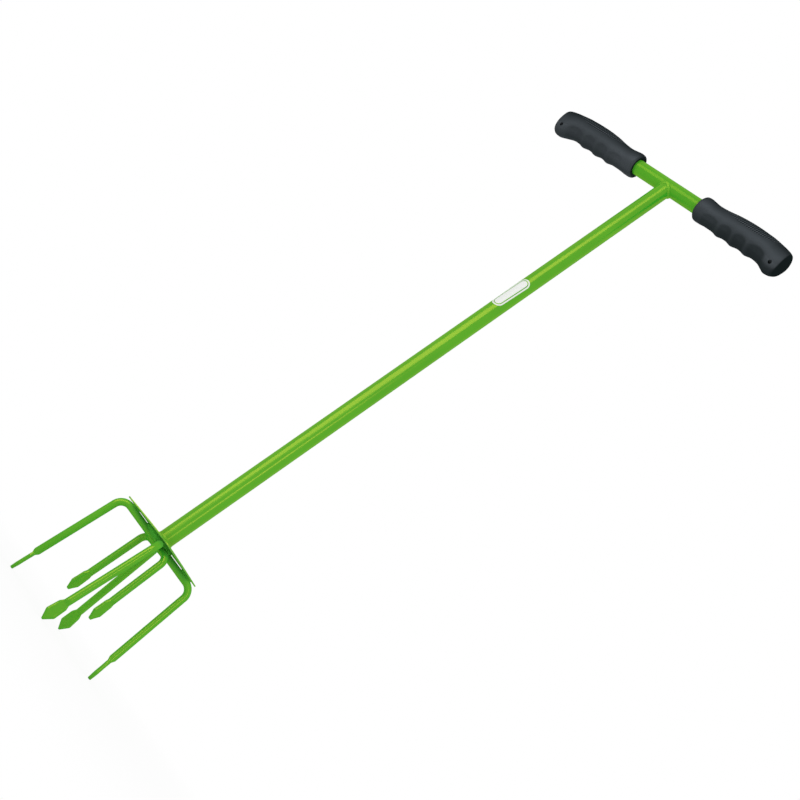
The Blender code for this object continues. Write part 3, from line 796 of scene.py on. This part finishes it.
def makeHubWeld():
    bm = bmesh.new()
    bmesh.ops.create_icosphere(bm, subdivisions=6, radius=1.0)
    height = tine["crossbarHeight"] + tine["rodDiameter"] / 2
    for vert in bm.verts:
        at = vert.co.copy()
        lump = 1.0
        for share, scale in weld["hubLumps"]:
            lump += share * noise.noise(at * scale)
        reach = weld["hubRight"] if at.x > 0 else weld["hubLeft"]
        at = Vector((at.x * reach, at.y * weld["hubDepth"], at.z * weld["hubHeight"])) * min(lump, 1.0)
        vert.co = onClaw(at + Vector((0.0, 0.0, height)))
    trimUnderPlate(bm, 0.0)
    finishPiece("hubWeld", bm, coatHub, "hub_weld", 60.0)


def makePlateWelds():
    height = tine["crossbarHeight"] + tine["rodDiameter"] / 2
    for name, node, which, side in (("plateWeldLeft", "plate_weld_left", "left", -1),
                                    ("plateWeldRight", "plate_weld_right", "right", 1)):
        outer = plate["length"] / 2 - weld[which + "FromEnd"]
        count = weld["plateSteps"]
        path = []
        for k in range(count):
            x = side * (outer - weld[which + "Length"] * k / (count - 1))
            path.append(onClaw(Vector((x, 0.0, height))))
        bm = beadMesh(path, [-down] * count, weld["plateRadius"], closed=False)
        trimUnderPlate(bm, side * (outer - weld[which + "Length"] / 2))
        finishPiece(name, bm, coatHub, node, 60.0)


makeHandleWeld()
makeFootWeld()
makeHubWeld()
makePlateWelds()
print("welds made")


grip = {
    "inner": 57.4 * mm,
    "outer": 203.0 * mm,
    "ridgeHeight": 2.2 * mm,
    "ridgeSpread": 5.2 * mm,
    "ridgeFade": 1.4,  # how soon a ridge fades round the side
    "ridgeSideShare": 0.35,
    "ridgePitch": 23.7 * mm,
    "firstRidge": 45.0 * mm,
    "ridges": 3,
    "holeDiameter": 5.0 * mm,
    "holeFromEnd": 11.5 * mm,
    "holeDrop": 19.5 * mm,
    "holeDepth": 60 * mm,
    "holeSides": 48,
    "lip": 0.5 * mm,
    # finger hollows: from and to in mm, and the share of the hollows' painted shade
    "scoops": ((14.0, 45.0, 0.6), (45.0, 68.7, 0.85), (68.7, 92.4, 0.95), (92.4, 126.0, 1.0)),
    "scoopDepth": 1.0 * mm,
    "scoopTop": -33.0,  # degrees above level, at a hollow's middle
    "scoopDip": 15.0,
    "scoopSoftness": 13.0,
    "scoopFloor": (-52.0, 16.0),  # the hollows run out below this, and over how many degrees
    "hollowShade": (0.44, 0.14),  # how much painted shade the hollows get, right and left
    "hollowSpread": 1.7,
    "litSideTurn": (0.0, 15.0),  # degrees that the painted lit side is turned down, right and left
    "collarLight": (0.08, 0.42),  # how much more painted light the collar gets, right and left
    "collarLength": 60 * mm,
    "hookFrom": 116 * mm,
    "hookBlend": 10 * mm,
    # painted light on the hook's sides and painted shade beneath: the amount, the degrees above level
    # that it lies below, and how many degrees it fades over
    "hookSides": (0.24, -40.0, 8.0),
    "hookUnder": (0.96, -58.0, 16.0),
    "endShade": (0.40, 0.66, 0.34),  # painted shade on the ends: how squarely an end must face out or in to be dark, and how softly
    "knurlPitch": 3.3 * mm,
    "knurlRows": 3.8 * mm,
    "knurlDepth": 0.5 * mm,
    "knurlFrom": 22.0 * mm,
    "knurlTo": 138.0 * mm,
    "knurlSpread": 88.0,  # degrees each side of the top
    "knurlEdge": 0.06,
    "knurlGirth": 19.0 * mm,
    "knurlSharpness": 1.7,
    "knurlShading": (0.74, 2.4),  # pips painted lighter, and painted shade between them
    "sides": 256,
    "steps": 320,
    "endSteps": (0.0, 0.15, 0.4, 0.8, 1.3, 2.0, 2.9),  # mm from each end
    "endLength": 3.5 * mm,
    # share of the grip's length from its inner end, and millimetres from the tube's axis
    "top": [(0.0, 16.0), (0.017, 18.8), (0.048, 19.3), (0.097, 18.3), (0.166, 17.2), (0.234, 17.9),
            (0.407, 21.8), (0.566, 23.2), (0.738, 22.2), (0.862, 19.2), (0.945, 16.4), (0.983, 14.4),
            (0.995, 13.2), (1.0, 11.8)],
    "under": [(0.0, 15.5), (0.017, 17.6), (0.048, 18.2), (0.152, 18.1), (0.717, 18.4), (0.786, 20.0),
              (0.855, 25.0), (0.91, 28.5), (0.948, 28.0), (0.983, 25.2), (0.995, 23.2), (1.0, 21.0)],
    "side": [(0.0, 15.0), (0.017, 17.2), (0.048, 17.6), (0.166, 16.2), (0.483, 18.0), (0.69, 17.6),
             (0.862, 17.0), (0.952, 15.8), (0.983, 14.8), (0.995, 13.8), (1.0, 12.2)],
    # degrees above level, and how much painted light the rubber has there
    "paintedLight": [(-90.0, 0.37), (-68.0, 0.56), (-54.0, 0.75), (-38.0, 0.80), (-20.0, 0.80), (0.0, 0.64),
             (20.0, 0.45), (42.0, 0.225), (62.0, 0.10), (90.0, 0.05)],
}


def smooth(x):
    x = min(1.0, max(0.0, x))
    return x * x * (3.0 - 2.0 * x)


def scoopAt(along, level):
    # how far inside a finger hollow a place is, how near its middle, and how much painted shade it gets
    for start, end, dark in grip["scoops"]:
        off = (2.0 * along / mm - start - end) / (end - start)
        if abs(off) < 1.0:
            top = grip["scoopTop"] - grip["scoopDip"] * off**2
            return smooth((top - level) / grip["scoopSoftness"]), 1.0 - off**2, dark
    return 0.0, 0.0, 0.0


def knurlAt(along, fromTop):  # share of the knurled patch, and how deep between its pips
    alongShare = (along - grip["knurlFrom"]) / (grip["knurlTo"] - grip["knurlFrom"])
    oval = (fromTop / grip["knurlSpread"]) ** 2 + (2 * alongShare - 1) ** 2
    mask = min(1.0, max(0.0, (1.0 - oval) / grip["knurlEdge"]))
    girth = math.radians(fromTop) * grip["knurlGirth"]
    columns = math.sin(math.pi * along / grip["knurlPitch"])
    rows = math.sin(math.pi * girth / grip["knurlRows"])
    return mask, 1.0 - min(1.0, grip["knurlSharpness"] * abs(columns * rows))


def gripSurface(along, angle):  # a point of the grip, in the handle's frame
    at = along / (grip["outer"] - grip["inner"])
    up = eased(grip["top"], at) * mm
    under = eased(grip["under"], at) * mm
    side = eased(grip["side"], at) * mm
    ridge = 0.0
    for k in range(grip["ridges"]):
        offset = along - grip["firstRidge"] - k * grip["ridgePitch"]
        ridge += grip["ridgeHeight"] * math.exp(-((offset / grip["ridgeSpread"]) ** 2))
    rise = math.sin(angle)
    below = max(-rise, 0.0) ** grip["ridgeFade"]
    height = up if rise > 0 else under + ridge * below
    width = side + grip["ridgeSideShare"] * ridge * below
    point = Vector((grip["inner"] + along, width * math.cos(angle), height * rise))
    inward = Vector((0.0, math.cos(angle), math.sin(angle)))
    level = math.degrees(math.asin(min(1.0, max(-1.0, rise))))
    inside, middle = scoopAt(along, level)[:2]
    floor, fade = grip["scoopFloor"]
    point -= inward * grip["scoopDepth"] * inside * middle * (1.0 - smooth((floor - level) / fade))
    mask, sunk = knurlAt(along, 90.0 - level)
    return point - inward * grip["knurlDepth"] * mask * sunk


# painted light and shade on the grip, by which way the rubber faces
def gripPaintedLight(at, facing, which):  # which is 0 for the right grip and 1 for the left
    hollow, turned, collar = [grip[key][which] for key in ("hollowShade", "litSideTurn", "collarLight")]
    along = at.x - grip["inner"]
    share = along / (grip["outer"] - grip["inner"])
    centre = (eased(grip["top"], share) - eased(grip["under"], share)) / 2 * mm
    level = math.degrees(math.atan2(at.z, abs(at.y)))
    faces = math.degrees(math.atan2(at.z - centre, abs(at.y)))
    paintedLight = eased(grip["paintedLight"], faces + turned)
    paintedLight *= 1.0 + collar * (1.0 - smooth(along / grip["collarLength"]))
    hook = smooth((along - grip["hookFrom"]) / grip["hookBlend"])  # painted lighter on its sides, painted shade beneath
    sides, under = [share * smooth((start - faces) / fade)
                    for share, start, fade in (grip["hookSides"], grip["hookUnder"])]
    paintedLight += hook * (sides - hollow * under)
    inside, middle, dark = scoopAt(along, level)
    paintedLight *= 1.0 - hollow * dark * inside * min(1.0, grip["hollowSpread"] * middle)
    mask, sunk = knurlAt(along, 90.0 - level)
    pips, between = grip["knurlShading"]
    paintedLight += mask * (pips - between * sunk)
    outer, inner, fade = grip["endShade"]
    start = outer if facing.x > 0 else inner
    return max(0.0, paintedLight * (1.0 - smooth((abs(facing.x) - start) / fade)))


def gripStations():
    length = grip["outer"] - grip["inner"]
    ends = [step * mm for step in grip["endSteps"]]
    count = grip["steps"]
    first, last = grip["endLength"], length - grip["endLength"]
    middle = [first + (last - first) * k / count for k in range(count + 1)]
    return ends + middle + [length - step for step in reversed(ends)]


def makeGrip(name, node, turn, which):
    # the skin from the outer end to the collar, then the socket back to its blind end
    stations = reversed(gripStations())
    rings = [lambda angle, along=along: gripSurface(along, angle) for along in stations]
    bore = tube["diameter"] / 2 + tube["seat"]
    blindEnd = tube["handleHalf"] + tube["seat"]
    lip = grip["lip"]
    for x, radius in ((grip["inner"], bore + lip), (grip["inner"] + lip, bore), (blindEnd, bore)):
        rings.append(lambda angle, x=x, radius=radius: Vector(
            (x, radius * math.cos(angle), radius * math.sin(angle))))
    bm = bmesh.new()
    sweep(bm, grip["sides"], rings)
    bmesh.ops.triangulate(bm, faces=[face for face in bm.faces if len(face.verts) > 4])
    whole = handleFrame @ Matrix.Rotation(turn, 4, "Z")
    bmesh.ops.transform(bm, matrix=whole, verts=bm.verts)
    piece = finishPiece(name, bm, softRubber, node, 60.0)
    hole = bmesh.new()
    across = Matrix.Translation((grip["outer"] - grip["holeFromEnd"], 0.0, -grip["holeDrop"]))
    holeRadius = grip["holeDiameter"] / 2
    bmesh.ops.create_cone(hole, cap_ends=True, segments=grip["holeSides"], radius1=holeRadius,
                          radius2=holeRadius, depth=grip["holeDepth"],
                          matrix=whole @ across @ Matrix.Rotation(math.pi / 2, 4, "X"))
    carve(piece, hole)
    # the grip's painted light and shade, kept on each vertex
    paintedLight = piece.data.attributes.new("paintedGripLight", "FLOAT", "POINT")
    back = whole.inverted()
    for vert in piece.data.vertices:
        paintedLight.data[vert.index].value = gripPaintedLight(back @ vert.co, back.to_3x3() @ vert.normal, which)


makeGrip("gripRight", "grip_right", 0.0, 0)
makeGrip("gripLeft", "grip_left", math.pi, 1)
print("grips made")


label = {
    "bottom": 659.0 * mm,
    "top": 717.0 * mm,
    "width": 16.8 * mm,
    "faces": -124.0,  # degrees about the shaft
    "skew": 0.03,
    "line": 1.9 * mm,
    "gap": 1.3 * mm,
    "film": 0.06 * mm,
    "seat": 0.03 * mm,
    "endSteps": 24,
    "girthStep": 0.5 * mm,  # short faces, so that they can follow the tube
    "lengthStep": 2.0 * mm,
}


def pillOutline(bm, length, width, inset):  # a stadium shape in the XY plane
    half = width / 2 - inset
    run = (length - width) / 2
    verts = []
    for end, start in ((1, -math.pi / 2), (-1, math.pi / 2)):
        for k in range(label["endSteps"] + 1):
            angle = start + math.pi * k / label["endSteps"]
            x, y = end * run + half * math.cos(angle), half * math.sin(angle)
            verts.append(bm.verts.new((x, y, 0.0)))
    return [bm.edges.new((verts[k], verts[(k + 1) % len(verts)])) for k in range(len(verts))]


def sliceAcross(bm, axis, extent, step):
    for k in range(1, round(extent / step)):
        place, normal = Vector(), Vector()
        place[axis] = k * step - extent / 2
        normal[axis] = 1.0
        bmesh.ops.bisect_plane(bm, geom=bm.verts[:] + bm.edges[:] + bm.faces[:], dist=1e-7,
                               plane_co=place, plane_no=normal)


def wrapLabel(bm):  # lays the flat shape round the shaft
    radius = tube["diameter"] / 2 + label["seat"]
    middle = (label["bottom"] + label["top"]) / 2
    for vert in bm.verts:
        along, girth, lift = vert.co
        girth += label["skew"] * along
        angle = math.radians(label["faces"]) + girth / radius
        vert.co = outward(angle) * (radius + lift) - down * (middle + along)


def makeLabel():
    length = label["top"] - label["bottom"]
    inner = label["line"] + label["gap"]
    for name, insets in (("labelRing", (0.0, label["line"])), ("labelBar", (inner,))):
        bm = bmesh.new()
        loops = [pillOutline(bm, length, label["width"], inset) for inset in insets]
        if len(loops) == 2:
            bmesh.ops.bridge_loops(bm, edges=loops[0] + loops[1])
        else:
            bmesh.ops.edgeloop_fill(bm, edges=loops[0])
        sliceAcross(bm, 1, label["width"], label["girthStep"])
        sliceAcross(bm, 0, length, label["lengthStep"])
        bmesh.ops.triangulate(bm, faces=bm.faces)
        grown = bmesh.ops.extrude_face_region(bm, geom=list(bm.faces))["geom"]
        for item in grown:
            if isinstance(item, bmesh.types.BMVert):
                item.co.z += label["film"]
        wrapLabel(bm)
        finishPiece(name, bm, stickerFilm, sharp=40.0)


makeLabel()
print("label made")


stageLook = {
    "floorColour": rgba(0.88, 0.88, 0.88),
    "floorCloud": rgba(0.80, 0.80, 0.80),
    "floorRadius": 9.0,
    "floorDrop": 0.3 * mm,  # just under the tips
    "floorLift": 0.88,  # share of plain white that the camera sees in the floor near the tool
    "fadeFrom": 0.25,
    "fadeTo": 0.75,
    "worldLevel": 1.0,
}


def makeFloor():
    bm = bmesh.new()
    bmesh.ops.create_circle(bm, cap_ends=True, segments=96, radius=stageLook["floorRadius"],
                            matrix=Matrix.Translation(down * stageLook["floorDrop"]))
    mesh = bpy.data.meshes.new("floor")
    bm.to_mesh(mesh)
    bm.free()
    floor = bpy.data.objects.new("floor", mesh)
    bpy.context.scene.collection.objects.link(floor)
    paper = Finish("floorPaper", {"Roughness": 0.9, "Specular IOR Level": 0.0})
    cloud = 0.05 * paper.grain(3.0, 3.0)
    paper.feed("Base Color", paper.mix(cloud, stageLook["floorColour"], stageLook["floorCloud"]))
    away = paper.node("VectorMath", {"operation": "LENGTH"}, [paper.place()], 1)
    near, far = stageLook["fadeFrom"], stageLook["fadeTo"]
    fade = away.above((near + far) / 2, (far - near) / 2)
    lift = stageLook["floorLift"]
    seen = paper.node("LightPath")  # by the camera alone
    paper.cover(seen * (lift + (1.0 - lift) * fade), "Emission", {"Color": rgba(1, 1, 1)})
    floor.data.materials.append(paper.material)


def makeWorld():
    world = bpy.data.worlds.new("studio")
    bpy.context.scene.world = world
    world.use_nodes = True
    sky = Nodes(world.node_tree)
    path = sky.node("LightPath")
    seen = path
    for kind in ("Is Glossy Ray", "Is Transmission Ray"):  # mirrors and glass show the white too
        seen = seen.maths("MAXIMUM", seen, Wire(sky, path.socket.node.outputs[kind]))
    back = world.node_tree.nodes["Background"]
    sky.put(seen.maths("MAXIMUM", seen, stageLook["worldLevel"]), back.inputs["Strength"])
    sky.put(rgba(1, 1, 1), back.inputs["Color"])


lamps = {  # cards that light the highlights alone, while the world gives the plain light
    "leftCard": {"from": (-1.85, -1.70, 1.40), "to": (0.0, 0.0, 0.75), "wide": 3.2, "tall": 1.6,
                 "roll": 32.0, "watts": 48.0},
    "lowCard": {"from": (-1.65, -1.90, 0.35), "to": (0.0, 0.0, 0.12), "wide": 1.2, "tall": 0.6,
                "roll": 0.0, "watts": 1.7},
    "nearCard": {"from": (0.68, -2.42, 0.68), "to": (0.0, 0.0, 0.30), "wide": 0.5, "tall": 0.8,
                 "roll": 0.0, "watts": 5.0},
}


def makeLamps():
    for name, own in lamps.items():
        light = bpy.data.lights.new(name, "AREA")
        light.shape = "RECTANGLE"
        light.size, light.size_y = own["wide"], own["tall"]
        light.energy = own["watts"]
        lamp = bpy.data.objects.new(name, light)
        bpy.context.scene.collection.objects.link(lamp)
        lamp.location = own["from"]
        aim = Vector(own["to"]) - Vector(own["from"])
        roll = Matrix.Rotation(math.radians(own["roll"]), 3, "Z")
        lamp.rotation_euler = (aim.to_track_quat("-Z", "Y").to_matrix() @ roll).to_euler()
        lamp.visible_camera = False
        lamp.visible_diffuse = False


view = {
    "focalPixels": 1142.98,
    "pictureWidth": 800,
    "sensorWidth": 36.0,
    "clip": (0.01, 50.0),
    "at": (-22.85 * mm, -1359.25 * mm, 73.36 * mm),
    "right": (0.569, -0.25687, 0.78119),
    "below": (0.82164, 0.13857, -0.55291),
    "ahead": (0.03377, 0.95646, 0.2899),
}


def makeCamera():
    lens = bpy.data.cameras.new("photoCamera")
    lens.sensor_width = view["sensorWidth"]
    lens.lens = view["focalPixels"] * lens.sensor_width / view["pictureWidth"]
    lens.clip_start, lens.clip_end = view["clip"]
    camera = bpy.data.objects.new("photoCamera", lens)
    bpy.context.scene.collection.objects.link(camera)
    up, back = -Vector(view["below"]), -Vector(view["ahead"])
    place = Matrix.Identity(4)
    for i, column in enumerate((Vector(view["right"]), up, back, Vector(view["at"]))):
        for row in range(3):
            place[row][i] = column[row]
    camera.matrix_world = place
    bpy.context.scene.camera = camera


makeFloor()
makeWorld()
makeLamps()
makeCamera()
bpy.context.scene.view_settings.view_transform = "Standard"
print("stage, light and camera made")

bpy.context.view_layer.update()
